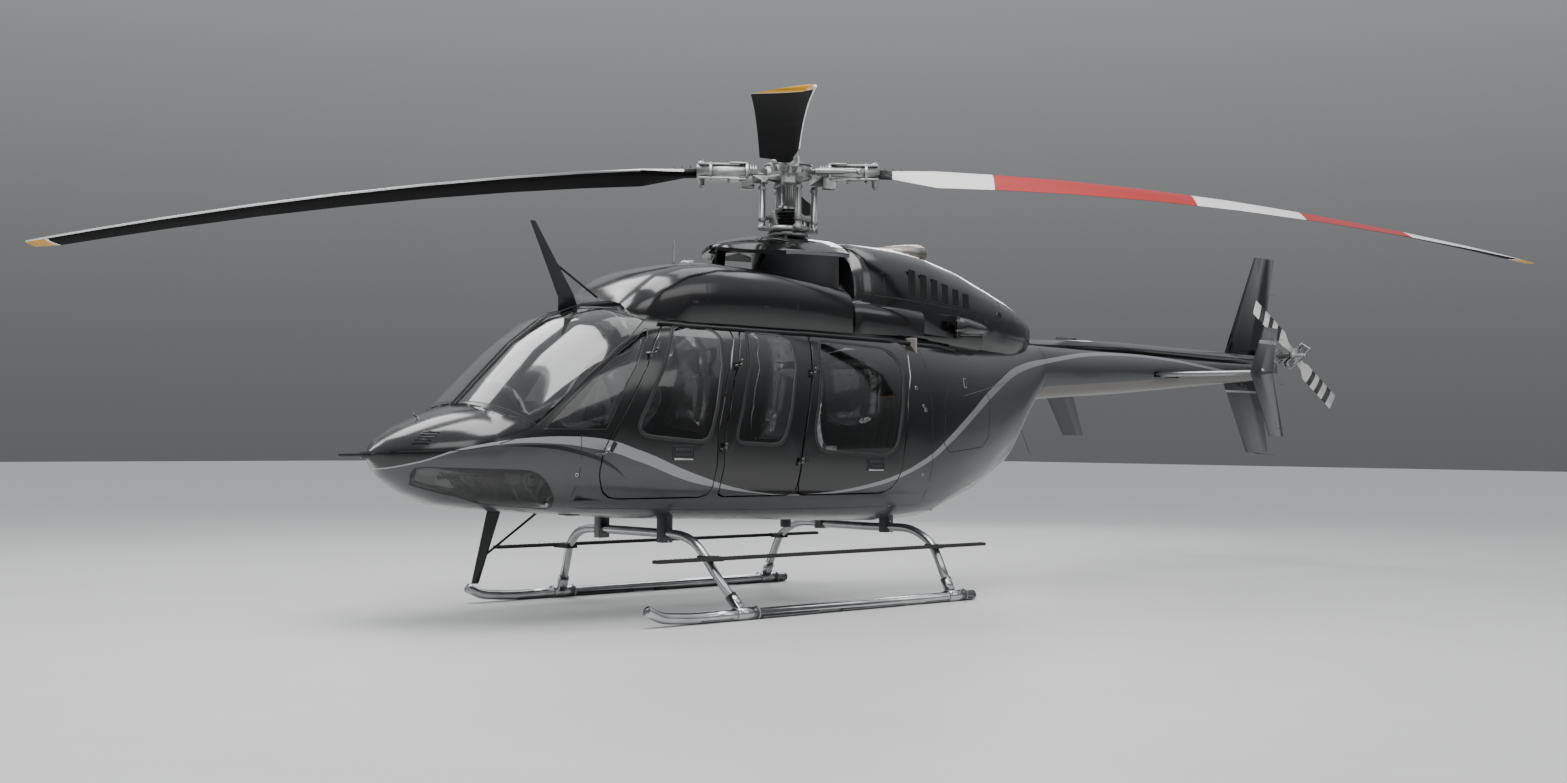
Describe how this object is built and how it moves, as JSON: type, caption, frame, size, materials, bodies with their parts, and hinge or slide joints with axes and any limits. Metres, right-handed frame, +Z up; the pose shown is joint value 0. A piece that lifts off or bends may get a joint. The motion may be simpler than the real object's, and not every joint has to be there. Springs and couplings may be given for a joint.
{
  "type": "light single-engine helicopter on skids",
  "caption": "Light helicopter parked on skids: hollow glazed cabin with seats and opening doors, drooping main rotor, tail boom with stabiliser, fin and tail rotor.",
  "frame": {"origin": "on the ground below the middle of the overall length and width, rotors at rest", "axes": "+X runs aft towards the tail, +Y to starboard, +Z up"},
  "size_m": [11.3598, 7.9954, 3.138],
  "materials": {
    "gloss_black": "gloss",
    "charcoal_paint": "metallic satin",
    "tinted_glass": "clear",
    "bright_metal": "polished",
    "bare_metal": "machined",
    "exhaust_metal": "heat-tinted",
    "dark_trim": "matte",
    "seat_cover": "soft",
    "blade_paint": "satin"
  },
  "bodies": {
    "airframe": {"nose_shell": "gloss_black", "windscreen_left": "tinted_glass", "windscreen_right": "tinted_glass", "quarter_window_left": "tinted_glass", "quarter_window_right": "tinted_glass", "chin_window_left": "tinted_glass", "chin_window_right": "tinted_glass", "cabin_frame": "gloss_black", "cabin_floor": "charcoal_paint", "middle_window_right": "tinted_glass", "aft_fuselage": "charcoal_paint", "tail_boom": "gloss_black", "drive_shaft_cover": "gloss_black", "roof_fairing": "gloss_black", "mast_fairing": "gloss_black", "engine_cowl": "gloss_black", "exhaust_stack": "exhaust_metal", "vertical_fin": "gloss_black", "stabiliser": "gloss_black", "tail_gearbox": "bare_metal", "skid_left": "bright_metal", "skid_right": "bright_metal", "cross_tube_front": "bright_metal", "cross_tube_aft": "bright_metal", "step_left": "dark_trim", "step_right": "dark_trim", "crew_seat_left": "seat_cover", "crew_seat_right": "seat_cover", "middle_seats": "seat_cover", "rear_bench": "seat_cover", "instrument_console": "dark_trim", "engine": "bare_metal", "transmission": "bare_metal", "swashplate": "bare_metal", "wire_cutter_upper": "dark_trim", "wire_cutter_lower": "dark_trim"},
    "main_rotor": {"main_rotor_hub": "bare_metal", "main_blade_1": "blade_paint", "main_blade_2": "blade_paint", "main_blade_3": "blade_paint", "main_blade_4": "blade_paint"},
    "tail_rotor": {"tail_rotor_hub": "bare_metal", "tail_blade_a": "blade_paint", "tail_blade_b": "blade_paint"},
    "crew_door_left": {"crew_door_left": "gloss_black", "crew_pane_left": "tinted_glass"},
    "crew_door_right": {"crew_door_right": "gloss_black", "crew_pane_right": "tinted_glass"},
    "litter_door": {"litter_door": "gloss_black", "litter_pane": "tinted_glass"},
    "passenger_door_left": {"passenger_door_left": "gloss_black", "passenger_pane_left": "tinted_glass"},
    "passenger_door_right": {"passenger_door_right": "gloss_black", "passenger_pane_right": "tinted_glass"}
  },
  "joints": [
    {"name": "main_rotor_spin", "type": "hinge", "parent": "airframe", "child": "main_rotor", "pos_m": [-1.5026, 0, 3.048], "axis": [0, 0, 1], "continuous": true},
    {"name": "tail_rotor_spin", "type": "hinge", "parent": "airframe", "child": "tail_rotor", "pos_m": [4.9384, -0.274, 1.967], "axis": [0, 1, 0], "continuous": true},
    {"name": "crew_door_left_hinge", "type": "hinge", "parent": "airframe", "child": "crew_door_left", "pos_m": [-3.6276, -0.725, 1.054], "axis": [-0.5418, -0.0535, -0.8388], "range_deg": [0, 75]},
    {"name": "crew_door_right_hinge", "type": "hinge", "parent": "airframe", "child": "crew_door_right", "pos_m": [-3.6276, 0.725, 1.054], "axis": [0.5418, -0.0535, 0.8388], "range_deg": [0, 75]},
    {"name": "litter_door_hinge", "type": "hinge", "parent": "airframe", "child": "litter_door", "pos_m": [-2.7006, -0.74, 1.089], "axis": [-0.2716, -0.0621, -0.9604], "range_deg": [0, 75]},
    {"name": "passenger_door_left_hinge", "type": "hinge", "parent": "litter_door", "child": "passenger_door_left", "pos_m": [-2.0306, -0.74, 0.991], "axis": [-0.2252, -0.0559, -0.9727], "range_deg": [0, 80]},
    {"name": "passenger_door_right_hinge", "type": "hinge", "parent": "airframe", "child": "passenger_door_right", "pos_m": [-2.0306, 0.74, 0.991], "axis": [0.2252, -0.0559, 0.9727], "range_deg": [0, 80]}
  ]
}
